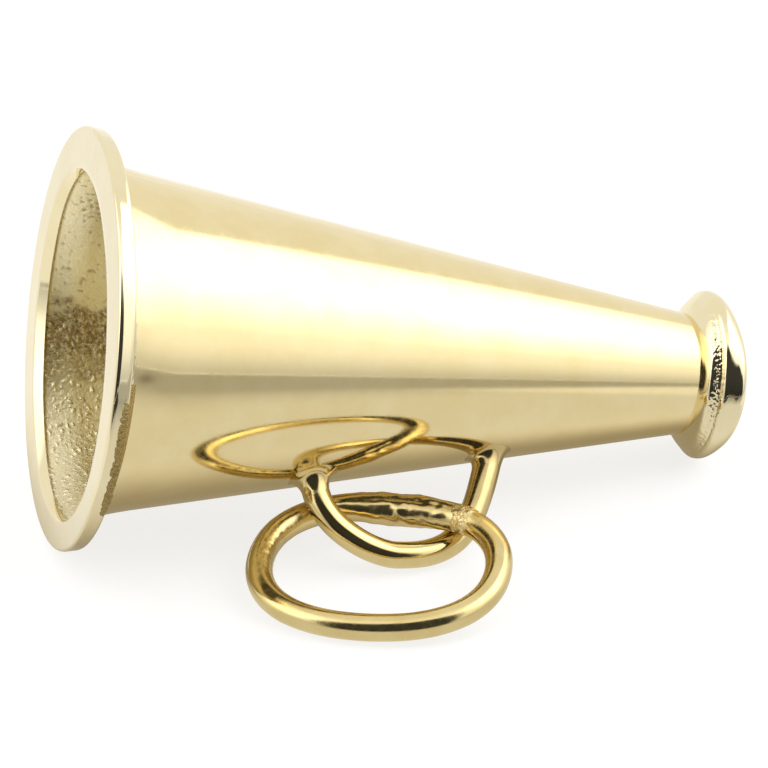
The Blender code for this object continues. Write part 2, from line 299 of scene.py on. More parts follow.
def wire_rows(centre, normal, sides, radius):
    """Rows of points round a flat wire. Angle 0 is outward in its plane and 90 degrees is the normal."""
    tangent = np.gradient(centre, axis=0)
    tangent /= np.linalg.norm(tangent, axis=1)[:, None]
    across = np.cross(tangent, normal)
    middle = centre.mean(0)
    if np.einsum("ij,ij->i", across, centre - middle).sum() < 0:
        across = -across
    theta = round_angles(sides)
    ring = np.cos(theta)[None, :, None] * across[:, None, :] + np.sin(theta)[None, :, None] * normal
    r = radius(np.linspace(0, 1, len(centre))[:, None], theta[None, :])
    return centre[:, None, :] + ring * np.broadcast_to(r, (len(centre), sides))[..., None], ring


def plain_wire(t, theta):
    """The radius for wire_rows at t along the wire and theta round it: the same all over."""
    return WIRE + 0 * t * theta


def wavy(rows, ring, amount, size, seed):
    """The rows moved inward by smooth noise, as a hand filed wire is."""
    return rows + ring * (amount * (fractal(rows, size, 2, seed) - 1.1))[..., None]


# ---------------------------------------------------------------- materials
class Nodes:
    """Short calls for building a material's node tree."""

    def __init__(self, tree):
        self.tree = tree
        self.tree.nodes.clear()

    def add(self, kind, inputs=None, **settings):
        node = self.tree.nodes.new(kind)
        for key, value in settings.items():
            setattr(node, key, value)
        for key, value in (inputs or {}).items():
            if isinstance(value, bpy.types.NodeSocket):
                self.tree.links.new(value, node.inputs[key])
            else:
                node.inputs[key].default_value = value
        return node

    def coordinates(self):
        return self.add("ShaderNodeTexCoord").outputs

    def values(self, name):
        """What set_values gave the mesh."""
        return self.add("ShaderNodeAttribute", attribute_name=name).outputs["Fac"]

    def noise(self, vector, scale, detail=2.0, roughness=0.5, distortion=0.0):
        """Smooth noise from 0 to 1, with about scale features to the metre."""
        node = self.add("ShaderNodeTexNoise", {"Vector": vector, "Scale": scale, "Detail": detail,
                                               "Roughness": roughness, "Distortion": distortion})
        return node.outputs["Fac"]

    def remap(self, value, low, high, to_low, to_high):
        node = self.add("ShaderNodeMapRange", {"Value": value, "From Min": low, "From Max": high,
                                               "To Min": to_low, "To Max": to_high})
        return node.outputs["Result"]

    def between(self, factor, a, b):
        return self.add("ShaderNodeMix", {0: factor, 2: a, 3: b}).outputs[0]

    def smooth(self, value, low, high, to_low, to_high):
        """Like remap, with a soft start and end, and with sockets allowed as the two results."""
        factor = self.add("ShaderNodeMapRange", {"Value": value, "From Min": low, "From Max": high},
                          interpolation_type="SMOOTHSTEP").outputs["Result"]
        return self.between(factor, to_low, to_high)

    def math(self, operation, a, b=0.0):
        return self.add("ShaderNodeMath", {0: a, 1: b}, operation=operation).outputs[0]

    def dot(self, a, b):
        return self.add("ShaderNodeVectorMath", {0: a, 1: b}, operation="DOT_PRODUCT").outputs["Value"]

    def mix(self, factor, a, b):
        """A colour between two others."""
        node = self.add("ShaderNodeMix", data_type="RGBA")
        for socket, value in zip((node.inputs[0], node.inputs[6], node.inputs[7]), (factor, a, b)):
            if isinstance(value, bpy.types.NodeSocket):
                self.tree.links.new(value, socket)
            else:
                socket.default_value = value
        return node.outputs[2]

    def metal(self, colour, rough, relief, strength, height):
        """The material's output: a metal with this relief, height metres deep."""
        bump = self.add("ShaderNodeBump", {"Height": relief, "Strength": strength, "Distance": height})
        shader = self.add("ShaderNodeBsdfPrincipled", {"Base Color": colour, "Metallic": 1.0,
                                                       "Roughness": rough, "Normal": bump.outputs[0]})
        self.add("ShaderNodeOutputMaterial", {"Surface": shader.outputs[0]})


def new_material(name):
    """A material with an empty node tree, and the calls that fill it."""
    material = bpy.data.materials.new(name)
    material.use_nodes = True
    return material, Nodes(material.node_tree)


PALE_GOLD = (0.890, 0.750, 0.425, 1.0)
WARM_GOLD = (0.850, 0.700, 0.365, 1.0)
DEEP_GOLD = (0.700, 0.530, 0.230, 1.0)
# A brown for tarnish, which the age values also use for painted shade on some meshes
TARNISH_AND_SHADE = (0.330, 0.235, 0.105, 1.0)
SOLDER_BROWN = (0.330, 0.235, 0.070, 1.0)
HORN_TONES = (PALE_GOLD, WARM_GOLD)
WIRE_TONES = ((0.780, 0.630, 0.305, 1.0), (0.700, 0.550, 0.240, 1.0))
RIM_TONES = ((0.895, 0.795, 0.520, 1.0), (0.860, 0.745, 0.460, 1.0))
# The bore's gold is a lighter copy of the horn's: painted light for the shaded inside
PAINTED_LIGHT_BORE_TONES = ((0.970, 0.890, 0.600, 1.0), (0.930, 0.840, 0.540, 1.0))


def polished(name, tones, roughness, wave, grain, lines):
    """Hand polished gold: soft waves, a fine grain, hairline wheel marks and a slightly uneven sheen.

    A mesh with values named age is duller and browner where they are high: tarnish, and on some meshes painted
    shade.
    """
    material, n = new_material(name)
    place = n.coordinates()
    spot, around = place["Object"], place["UV"]
    tarnish_and_shade = n.values("tarnish_and_shade")
    tone = n.noise(spot, 700.0, 3.0, 0.6)
    colour = n.mix(tarnish_and_shade, n.mix(n.remap(tone, 0.35, 0.70, 0.0, 1.0), *tones), TARNISH_AND_SHADE)
    stretched = n.add("ShaderNodeMapping", {"Vector": around, "Scale": (500.0, 24000.0, 1.0)}).outputs[0]
    marks = n.remap(n.noise(stretched, 1.0, 3.0, 0.7, 0.3), 0.62, 0.78, 0.0, 1.0)
    rough = n.remap(n.noise(spot, 2600.0, 3.0, 0.65), 0.30, 0.70, *roughness)
    rough = n.math("ADD", rough, n.math("MULTIPLY", marks, 0.10 * lines))
    rough = n.math("ADD", rough, n.math("MULTIPLY", tarnish_and_shade, 0.16))
    relief = n.math("MULTIPLY", n.noise(spot, 900.0, 2.0, 0.5), wave)
    relief = n.math("ADD", relief, n.math("MULTIPLY", n.noise(spot, 16000.0, 2.0, 0.6), grain))
    relief = n.math("SUBTRACT", relief, n.math("MULTIPLY", marks, 0.05 * lines))
    n.metal(colour, rough, relief, strength=0.5, height=0.02 * MM)
    return material


def cast(name, roughness, grain_size, depth, dark, shade=0.0):
    """Solder as it set: grainy, pitted and darker in its hollows. shade browns all of it."""
    material, n = new_material(name)
    spot = n.coordinates()["Object"]
    scale = 1.0 / grain_size
    grains = n.add("ShaderNodeTexVoronoi", {"Vector": spot, "Scale": scale, "Randomness": 1.0})
    crumbs = n.noise(spot, scale * 1.7, 4.0, 0.7, 0.4)
    pits = n.remap(n.noise(spot, scale * 0.45, 3.0, 0.6), 0.30, 0.42, 1.0, 0.0)
    colour = n.mix(n.remap(crumbs, 0.35, 0.65, 0.0, 1.0), WARM_GOLD, DEEP_GOLD)
    colour = n.mix(n.math("MULTIPLY", pits, dark), colour, TARNISH_AND_SHADE)
    colour = n.mix(n.remap(crumbs, 0.3, 0.7, shade, 0.5 * shade), colour, SOLDER_BROWN)
    rough = n.remap(crumbs, 0.3, 0.7, *roughness)
    relief = n.math("ADD", n.math("MULTIPLY", grains.outputs["Distance"], 0.7), crumbs)
    relief = n.math("SUBTRACT", relief, n.math("MULTIPLY", pits, 0.6))
    n.metal(colour, rough, relief, strength=1.0, height=depth)
    return material


def bore_finish(name):
    """The bell's inside, as cast, in a lighter gold that paints light into the shaded bore. The mesh says
    where it is tarnished and where shade is painted (age) and where it is rough (rough).
    """
    material, n = new_material(name)
    spot = n.coordinates()["Object"]
    coarse = n.values("rough")
    crumbs = n.noise(spot, 11000.0, 3.0, 0.65, 0.3)
    clean = n.mix(n.remap(crumbs, 0.35, 0.65, 0.0, 1.0), *PAINTED_LIGHT_BORE_TONES)
    colour = n.mix(n.values("tarnish_and_shade"), clean, TARNISH_AND_SHADE)
    rough = n.math("ADD", n.between(coarse, 0.45, 0.20), n.remap(crumbs, 0.3, 0.7, -0.05, 0.07))
    relief = n.math("MULTIPLY", crumbs, n.remap(coarse, 0.0, 1.0, 0.20, 1.0))
    n.metal(colour, rough, relief, strength=1.0, height=0.05 * MM)
    return material


horn_gold = polished("horn_gold", HORN_TONES, roughness=(0.05, 0.13), wave=0.10, grain=0.04, lines=0.3)
rim_gold = polished("rim_gold", RIM_TONES, roughness=(0.05, 0.11), wave=0.08, grain=0.04, lines=0.3)
wire_gold = polished("wire_gold", WIRE_TONES, roughness=(0.05, 0.14), wave=0.35, grain=0.06, lines=0.6)
link_gold = polished("link_gold", WIRE_TONES, roughness=(0.11, 0.24), wave=0.60, grain=0.12, lines=1.2)
bore_gold = bore_finish("bore_gold")
solder_gold = cast("solder_gold", roughness=(0.10, 0.26), grain_size=0.16 * MM, depth=0.02 * MM, dark=0.35)
dark_solder = cast("dark_solder", roughness=(0.16, 0.34), grain_size=0.08 * MM, depth=0.05 * MM, dark=0.85,
                   shade=1.0)


# ---------------------------------------------------------------- horn
HORN_COLUMNS = 640
CAST_DEPTH = 0.032 * MM

# Round the bore, by angle: clean gold, then a band painted darker as a painted reflection of the dark opening
# in front, then rough gold until it fades to clean
BAND_START = radians(193)
BAND_END = radians(207)
ROUGH_LAST = radians(308)

# The crowd of pits on the clean gold and the smudge on the outside, each at its angle and distance along
PATCH_ANGLE = radians(151)
PATCH_ALONG = 1.15 * MM
SMUDGE_ANGLE = radians(16)
SMUDGE_ALONG = 1.25 * MM


def mouth_radius(phi):
    """The hole in the rim's face, which was opened by hand and is a little oval and off centre."""
    centred = MOUTH_RADIUS - MOUTH_OVAL * np.sin(2 * phi)
    wandering = MOUTH_WANDER * np.sin(7 * phi + 1.0) * np.sin(3 * phi)
    return centred + wandering + MOUTH_SIDEWAYS * np.cos(phi) - MOUTH_DOWN * np.sin(phi)


def mouth_edge(phi):
    """The back edge of the hole's slanting wall. The slant is widest on the far side."""
    return mouth_radius(phi) - SLANT_LEAST - SLANT_MORE * bump_at(phi, radians(195), radians(95))


def horn_profile():
    """The casting's closed outline as (along, radius), and how many of its points are on the outside."""
    outer = np.concatenate([np.linspace(SHELL_END, 2.4 * MM, 60), np.linspace(2.3 * MM, SHELL_START, 28)])
    inner = np.concatenate([[0.292 * MM, BORE_START], np.arange(0.34 * MM, 4.2 * MM, 0.045 * MM),
                            np.arange(4.2 * MM, SHELL_END, 0.16 * MM), [SHELL_END]])
    return [(s, cone_radius(s)) for s in outer] + [(s, bore_radius(s)) for s in inner], len(outer)


def bore_relief(points, s, angle):
    """The cast surface inside the bell: how far each point moves outward, and its age and rough values."""
    grains = fractal(points, size=0.105 * MM, octaves=2, seed=3.0)
    lumps = fractal(points, size=0.55 * MM, octaves=2, seed=9.0)
    specks = fractal(points, size=0.13 * MM, octaves=1, seed=27.0)
    drops = fractal(points, size=0.12 * MM, octaves=1, seed=51.0)

    ragged = angle + radians(9) * lumps
    clean = 1.0 - climb(ragged, BAND_START, radians(12)) * (1.0 - climb(ragged, ROUGH_LAST, radians(30)))
    band = climb(ragged, BAND_START, radians(7)) * (1.0 - climb(ragged, BAND_END, radians(18)))
    coarse = np.clip(0.30 + 0.75 * band + 0.25 * lumps, 0.05, 1.1) * (1.0 - 0.93 * clean)
    patch = bump_at(angle, PATCH_ANGLE, radians(15)) * bell_curve(s, PATCH_ALONG, 0.40 * MM)
    pits = climb(specks, 0.40 - 0.42 * patch, 0.25) * np.maximum(clean * 0.8, band)
    beads = climb(drops, 0.30, 1 / 3) * (1.0 - clean)

    lift = CAST_DEPTH * (coarse * grains + 0.5 * pits - 0.9 * beads + 0.12 * lumps)
    hollow = np.clip(0.35 + 1.1 * grains, 0.0, 1.0)
    # The band is painted darker, a painted reflection of the dark opening in front, and darker still in its
    # hollows; elsewhere the hollows and pits are tarnished
    tarnish_and_painted_shade = band * (0.30 + 0.85 * hollow) + 0.22 * hollow * coarse + 0.7 * pits
    # The rough gold is a little darker all over and darker still just inside the rim, where this is painted
    # shade of the recess behind the flange
    tarnish_and_painted_shade += (0.12 + 0.22 * np.exp((BORE_START - s) / (0.9 * MM))) * (1.0 - clean)
    tarnish_and_shade = np.clip(tarnish_and_painted_shade * (1.0 - beads), 0.0, 0.95)
    return lift * climb(s, BORE_START, 0.08 * MM), tarnish_and_shade, coarse + beads


def horn_shell():
    """One casting: polished outside with a brown smudge behind the rim, and left as it was cast inside."""
    profile, outside = horn_profile()
    inside = slice(outside, -1)
    s, r, phi = turned(profile, HORN_COLUMNS)
    to_hole = bore_radius(BORE_START) - mouth_edge(phi[0]) - 0.004 * MM
    r[inside] -= to_hole * np.exp(-np.maximum(s[inside] - BORE_START, 0.0) / (0.75 * MM))
    tarnish_and_shade, rough = np.zeros(phi.shape), np.zeros(phi.shape)
    lift, tarnish_and_shade[inside], rough[inside] = bore_relief(on_horn(s, r, phi)[inside], s[inside], phi[inside])
    r[inside] += lift
    smudge = bell_curve(phi, SMUDGE_ANGLE, radians(1.7)) * bell_curve(s, SMUDGE_ALONG, 0.30 * MM)
    tarnish_and_shade[:outside] = 0.75 * smudge[:outside]
    obj = grid_mesh("horn_casting", on_horn(s, r, phi), True, True, sharp=80.0)
    add_piece(obj, "horn", "polished_gold", horn_gold, "horn_shell")
    rows = np.repeat(np.arange(len(profile)), HORN_COLUMNS)
    set_second_material(obj, bore_gold, (rows >= outside - 1) & (rows < len(profile) - 1))
    set_values(obj, "tarnish_and_shade", tarnish_and_shade)
    set_values(obj, "rough", rough)


def bell_rim():
    """The ring: a tight front corner, an outside that falls away and a hole with a slanting wall."""
    front_round, back_round = 0.105 * MM, 0.09 * MM
    front_radius, back_radius = 6.562 * MM, 6.505 * MM
    face = 0.02 * MM
    rows = arc(RIM_THICKNESS - back_round, back_radius - back_round, back_round, back_round, 0, 82, 10)
    rows += [(s, 6.585 * MM - 0.15 * s) for s in np.linspace(0.46 * MM, 0.15 * MM, 8)]
    rows += arc(face + front_round, front_radius - front_round, front_round, front_round, 82, 180, 16)
    phi = round_angles(480)
    hole, edge = mouth_radius(phi), mouth_edge(phi)
    corner = hole + 0.035 * MM
    rows += [(face, corner + (front_radius - front_round - corner) * (1 - k / 6)) for k in range(1, 7)]
    rows += [(face + 0.008 * MM, hole + 0.012 * MM), (face + 0.030 * MM, hole - 0.010 * MM)]
    rows += [(FLANGE_BACK, edge), (FLANGE_BACK + 0.002 * MM, edge + 0.03 * MM)]
    rows += [(RIM_FLANGE, edge + 0.10 * MM), (RIM_FLANGE, RIM_BORE), (RIM_THICKNESS, RIM_BORE)]
    obj = grid_mesh("bell_rim_band", on_horn(*turned(rows, len(phi))), True, True)
    add_piece(obj, "horn", "polished_gold", rim_gold, "bell_rim")


def rim_seam():
    """The solder in the corner behind the rim: a neat hollow, with a lumpy stretch on the near side."""
    start, width, height, sunk, steps = RIM_THICKNESS, 0.27 * MM, 0.25 * MM, 0.05 * MM, 18
    hollow = arc(start + width, height, width, height, 270, 180, steps)
    s, r, phi = turned(hollow + [(start, -sunk), (start + width, -sunk)], columns=900)
    r += cone_radius(s)
    lumpy = bump_at(phi, radians(353), radians(24)) ** 0.4
    lumps = fractal(on_horn(s, r, phi), size=0.20 * MM, octaves=3, seed=5.0)
    bulge = 0.005 * MM * lumps + lumpy * (0.04 * MM + 0.085 * MM * lumps)
    bulge[0] = bulge[steps:] = 0.0
    obj = grid_mesh("rim_solder", on_horn(s + bulge * 0.8, r + bulge * 0.7, phi), True, True, sharp=60.0)
    add_piece(obj, "horn", "satin_gold", rim_gold, "rim_solder_seam")
    set_second_material(obj, dark_solder, lumpy > 0.35)


# Over the rim's back corner and down to the horn, (along, radius) in mm
RUN_LINE = ((0.27, 6.544), (0.36, 6.531), (0.45, 6.517), (0.52, 6.495), (0.565, 6.44), (0.58, 6.30),
            (0.595, 6.10), (0.66, 5.92), (0.78, 5.74), (0.95, 5.505))


def rim_solder_run():
    """Solder that ran over the back corner of the rim, low on the loop's side, and was left rough."""
    line = np.array(smooth_line(RUN_LINE, steps=7))
    first, last = radians(-28), radians(14)
    phi = np.linspace(first, last, 260)[:, None] + np.zeros((1, len(line)))
    s, r = line[:, 0] + 0 * phi, line[:, 1] + 0 * phi
    slope = np.gradient(line, axis=0)
    out = np.stack([-slope[:, 1], slope[:, 0]], 1)
    out /= np.linalg.norm(out, axis=1)[:, None]
    t = np.linspace(0.0, 1.0, len(line))
    along = np.clip(np.minimum(phi - first, last - phi) / radians(7), 0.0, 1.0)
    across = np.clip(np.minimum(t / 0.22, (1.0 - t) / 0.15), 0.0, 1.0)
    points = on_horn(s, r, phi)
    lumps = fractal(points, size=0.17 * MM, octaves=3, seed=61.0)
    broad = fractal(points, size=0.55 * MM, octaves=1, seed=67.0)
    sunk, below = 0.016 * MM, 0.06 * MM
    lift = (0.050 * MM + 0.040 * MM * lumps + 0.030 * MM * broad) * along * across - sunk
    top = on_horn(s + lift * out[:, 0], r + lift * out[:, 1], phi)
    under = on_horn(s - below * out[:, 0], r - below * out[:, 1], phi)[:, ::-1]
    obj = grid_mesh("rim_solder_run", np.concatenate([top, under], 1), False, True, cap_ends=True, sharp=60.0)
    add_piece(obj, "horn", "satin_gold", dark_solder, "rim_solder_seam")


# ---------------------------------------------------------------- mouthpiece
# Its outline in mm, (along, radius), near the loop's side and on the rest, which was filed rounder
BEAD_NEAR = ((20.05, 1.93), (20.08, 2.00), (20.12, 2.09), (20.17, 2.18), (20.23, 2.255), (20.31, 2.30),
             (20.40, 2.335), (20.48, 2.38), (20.56, 2.42))
BEAD_FAR = ((20.05, 1.93), (20.08, 2.00), (20.13, 2.10), (20.20, 2.22), (20.30, 2.36), (20.39, 2.46),
            (20.46, 2.52), (20.52, 2.58), (20.58, 2.60))
LIP_NEAR = ((20.50, 2.35), (20.55, 2.42), (20.60, 2.49), (20.65, 2.54), (20.72, 2.575), (20.84, 2.595),
            (20.98, 2.615), (21.12, 2.64), (21.24, 2.645), (21.33, 2.59), (21.385, 2.42), (21.415, 1.80))
LIP_FAR = ((20.50, 2.53), (20.53, 2.59), (20.57, 2.64), (20.64, 2.69), (20.74, 2.71), (20.88, 2.69),
           (21.00, 2.62), (21.13, 2.50), (21.25, 2.33), (21.35, 2.12), (21.40, 1.97), (21.415, 1.80))
MOUTHPIECE_SEAT = cone_radius(CONE_END) - 0.06 * MM


def mouthpiece_ring(name, node, near, far, hidden, ripple, groove, shown):
    """A hand filed ring. The groove between the rings is pitted by solder, most of all on the loop's side.

    hidden closes the outline, ripple is (size, seed) and groove is (along, half width, depth). shown says how
    much ripple there is at a radius.
    """
    s, r, phi = turned(smooth_line(near[::-1], steps=6) + hidden, columns=900)
    far_s, far_r, _ = turned(smooth_line(far[::-1], steps=6) + hidden, columns=900)
    side = bump_at(phi, radians(12), radians(85))
    s, r = far_s + (s - far_s) * side, far_r + (r - far_r) * side
    points = on_horn(s, r, phi)
    filed = 0.008 * MM * (fractal(points, size=ripple[0], octaves=2, seed=ripple[1]) - 1.0) * shown(r)
    middle, half, depth = groove
    pitted = bell_curve(s, middle, half) * (r > 2.2 * MM) * (0.12 + 0.88 * side)
    pits = depth * (fractal(points, size=0.13 * MM, octaves=2, seed=4.0) + 0.2) * pitted
    obj = grid_mesh(name, on_horn(s, r + filed - pits, phi), True, True, sharp=60.0)
    add_piece(obj, "horn", "polished_gold", rim_gold, node)


def mouthpiece_bead():
    """The rounded ring next to the horn."""
    hidden = [(CONE_END, MOUTHPIECE_SEAT), (20.60 * MM, MOUTHPIECE_SEAT), (20.60 * MM, 2.30 * MM)]
    mouthpiece_ring("mouthpiece_bead_ring", "mouthpiece_bead", BEAD_NEAR, BEAD_FAR, hidden,
                    ripple=(0.9 * MM, 2.0), groove=(20.42 * MM, 0.11 * MM, 0.040 * MM),
                    shown=lambda r: climb(r, MOUTHPIECE_SEAT, 0.4 * MM))


def mouthpiece_lip():
    """The fatter end ring, with the bore, whose edge is rounded."""
    back, rounding = SHELL_END + 0.015 * MM, 0.30 * MM
    hidden = [(20.50 * MM, MOUTHPIECE_SEAT), (back, MOUTHPIECE_SEAT), (back, MOUTHPIECE_BORE)]
    hidden += [(s, MOUTHPIECE_BORE) for s in np.linspace(SHELL_END, LIP_END - rounding, 5)[1:-1]]
    hidden += arc(LIP_END - 0.305 * MM, LIP_EDGE, rounding, LIP_EDGE - MOUTHPIECE_BORE, 270, 360, 10)[:-1]
    mouthpiece_ring("mouthpiece_lip_ring", "mouthpiece_lip", LIP_NEAR, LIP_FAR, hidden,
                    ripple=(0.8 * MM, 7.0), groove=(20.50 * MM, 0.07 * MM, 0.035 * MM),
                    shown=lambda r: (r > LIP_EDGE).astype(float))


# ---------------------------------------------------------------- wire loop
def loop_route():
    """Two curves that meet at the loop's bottom, with feet in the wall, in a plane that holds the axis."""
    front, rear = (np.array([s, cone_radius(s) - 0.10 * MM]) for s in (LOOP_FRONT, LOOP_REAR))
    front_way, rear_way = (np.array([sin(lean), cos(lean)]) for lean in (FRONT_LEAN, REAR_LEAN))
    level = np.array([1.0, 0.0])
    down = (front, front + front_way * 1.67 * MM, LOOP_BOTTOM - level * 0.80 * MM, LOOP_BOTTOM)
    back = (LOOP_BOTTOM, LOOP_BOTTOM + level * 2.30 * MM, rear + rear_way * 2.35 * MM, rear)
    sunk = 0.12 * MM
    curves = [bezier(down, count=60), bezier(back, count=60)[1:]]
    flat = np.concatenate([[front - front_way * sunk], *curves, [rear - rear_way * sunk]])
    return HORN + flat[:, :1] * ALONG + flat[:, 1:] * LOOP_OUT


def wire_loop():
    """The loop's wire, darker and browner towards its feet and most of all on its side that faces the bell,
    where the brown is a painted reflection of the horn's shadow, and the solder round each foot.
    """
    centre = loop_route()
    rows, ring = wire_rows(centre, LOOP_NORMAL, 64, plain_wire)
    from_foot = np.minimum(np.arange(len(centre)), np.arange(len(centre))[::-1])[:, None]
    rows = wavy(rows, ring, amount=0.010 * MM * climb(from_foot, 10, 12), size=1.1 * MM, seed=11.0)
    obj = grid_mesh("loop_wire", kept_in_wall(rows), False, True, cap_ends=True)
    t = np.linspace(0.0, 1.0, len(centre))[:, None]
    feet = climb(t, 0.66, 0.20) + 0.6 * (1.0 - climb(t, 0.04, 0.12))
    blotches = fractal(rows, size=0.35 * MM, octaves=3, seed=71.0)
    # Browner on the side that faces the bell: a painted reflection of the horn's shadow
    set_values(obj, "tarnish_and_shade", feet * (0.30 + 0.30 * np.clip(-ring @ ALONG, 0.0, 1.0) + 0.22 * blotches))
    add_piece(obj, "horn", "polished_gold", wire_gold, "handle_loop")
    solder_fillet("front_fillet", centre[:22], "front_solder_fillet", (0.40, 0.48), 0.60, tarnish_and_shade=0.12)
    solder_fillet("rear_fillet", centre[:-22:-1], "rear_solder_fillet", (0.22, 0.40), 0.50, tarnish_and_shade=0.35)


def solder_fillet(name, line, node, widths, height, tarnish_and_shade):
    """Solder drawn up one foot of the loop: a curve that leaves the horn flat and ends along the wire.

    height and widths are in mm. The widths are those towards the mouthpiece and towards the bell.
    """
    length = np.concatenate([[0], np.cumsum(np.linalg.norm(np.diff(line, axis=0), axis=1))])
    h = np.linspace(0.0, 1.6 * MM, 81)
    centre = np.stack([np.interp(h, length, line[:, k]) for k in range(3)], 1)
    wire, ring = wire_rows(centre, LOOP_NORMAL, 120, plain_wire)
    s = (wire - HORN) @ ALONG
    above = np.linalg.norm(wire - HORN - s[..., None] * ALONG, axis=2) - cone_radius(s)
    to_bell = 0.5 - 0.5 * (ring[0] @ ALONG)
    wander = fractal(ring[0], size=0.9, octaves=1, seed=len(name))
    width = (widths[0] * (1 - to_bell) + widths[1] * to_bell) * (1 + 0.35 * wander) * MM
    rise = height * (1 + 0.30 * wander) * MM

    def on_wire(k, at, inward=0.0):
        place = [np.interp(at, h, wire[:, k, axis] - inward * ring[:, k, axis]) for axis in range(3)]
        return np.array(place)

    columns = []
    for k in range(wire.shape[1]):
        foot = np.interp(0.0, above[:, k], h)
        corner = on_wire(k, foot)
        edge = to_cone(corner + width[k] * ring[0, k], lift=-0.004 * MM)
        top = on_wire(k, foot + rise[k])
        t = np.linspace(0.0, 1.0, 26)[:, None]
        curve = edge * (1 - t) ** 2 + (corner + 0.02 * MM * ring[0, k]) * 2 * t * (1 - t) + top * t ** 2
        start = to_cone(edge, lift=-0.10 * MM)
        end = on_wire(k, foot + rise[k], inward=0.02 * MM)
        columns.append(np.concatenate([[start], curve, [end]]))
    rows = np.stack(columns, 1)
    obj = grid_mesh(name, rows, False, True, cap_ends=True, sharp=60.0)
    set_values(obj, "tarnish_and_shade", np.full(rows.shape[:2], tarnish_and_shade))
    add_piece(obj, "horn", "satin_gold", wire_gold, node)


# ---------------------------------------------------------------- link
def link_frame():
    """The link's middle, and its own axes as columns: along it, across it and out of its plane."""
    low, high = (np.array(corner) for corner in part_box("link_ring"))
    return (low + high) / 2, np.array(Euler(LINK_TURNS, "ZXY").to_matrix())


def link_line(angles):
    """The middle of the link's wire, at angles round the oval."""
    centre, axes = link_frame()
    flat = np.stack([LINK_HALF[0] * np.cos(angles), LINK_HALF[1] * np.sin(angles), 0 * angles], 1)
    flat *= (1 - LINK_SQUARENESS * np.cos(4 * angles))[:, None]
    return centre + flat @ axes.T


def link_wire():
    """The oval link. Its far arm was built up with solder on the inner side and then filed by hand."""
    half_gap = radians(4.0)
    far_arm, left_arm = radians(84), radians(170)
    angles = SOLDER_ANGLE + half_gap + (2 * pi - 2 * half_gap) * np.linspace(0, 1, 401)

    def radius(t, theta):
        built = bump_at(angles[:, None], far_arm, radians(42))
        inner = np.clip(-np.cos(theta - radians(20)), 0, 1)
        return WIRE * (1 + 0.62 * built * inner)

    rows, ring = wire_rows(link_line(angles), link_frame()[1][:, 2], 64, radius)
    rows = wavy(rows, ring, amount=0.008 * MM, size=1.3 * MM, seed=21.0)
    filed = bump_at(angles, far_arm, radians(46))[:, None]
    rough = fractal(rows, size=0.72 * MM, octaves=3, seed=33.0)
    rows = rows + ring * (0.052 * MM * filed * (rough - 0.5))[..., None]
    worn = bump_at(angles, left_arm, radians(50))[:, None]
    nicks = fractal(rows, size=0.22 * MM, octaves=2, seed=37.0)
    rows = rows + ring * (0.007 * MM * worn * (nicks - 0.6))[..., None]
    obj = grid_mesh("link_wire", rows, False, True, cap_ends=True)
    set_values(obj, "tarnish_and_shade", (0.22 * worn + 0.20 * filed) * (1.0 + 0.6 * nicks))
    add_piece(obj, "link", "polished_gold", link_gold, "link_ring")


def link_joint():
    """The lump of solder that closes the link's gap."""
    t = np.linspace(0, 1, 49)
    half = radians(7.5)

    def collar(t, theta):
        return WIRE * (0.86 + 0.20 * np.sin(pi * t) ** 0.6) + 0 * theta

    line = link_line(SOLDER_ANGLE + half * (2 * t - 1))
    rows, ring = wire_rows(line, link_frame()[1][:, 2], 72, collar)
    rough = fractal(rows, size=0.20 * MM, octaves=3, seed=41.0)
    rows = rows + ring * (0.035 * MM * np.sin(pi * t)[:, None] * rough)[..., None]
    obj = grid_mesh("link_joint", rows, False, True, cap_ends=True, sharp=60.0)
    add_piece(obj, "link", "satin_gold", solder_gold, "link_solder")


# ---------------------------------------------------------------- studio
# The tent's panels, each at its (azimuth, elevation) in degrees, and how bright they are. The key panel has a
# straight edge, on the plane through the middle that has KEY_EDGE as its normal.
KEY_AT = (5, 48)
KEY_EDGE = (-0.777, 0.474, 0.413)
KEY_LIGHT = 1.85
LEFT_AT = (176, 38)
LEFT_LIGHT = 0.8
OPENING_AT = (-103, 25)
OPENING_LIGHT = 0.035
FAR_LIGHT = 0.95
FRONT_LIGHT = 2.0

# How bright the table's painted reflection looks in the gold, as a share of white: painted shade in front, a
# painted shadow under the horn and a painted dark stretch towards the opening
FRONT_TABLE = 0.46
MIDDLE_TABLE = 0.78
FAR_TABLE = 1.03
OUTER_TABLE = 0.98
PAINTED_HORN_SHADOW = 0.42
PAINTED_DARK_STRETCH = 0.08

CARD_HEIGHT = 0.04 * MM
TABLE_GLOW = 0.77


def direction(azimuth, elevation):
    """A unit vector. Azimuth 0 is along +X and 90 is along +Y, in degrees."""
    a, e = radians(azimuth), radians(elevation)
    return (cos(a) * cos(e), sin(a) * cos(e), sin(e))


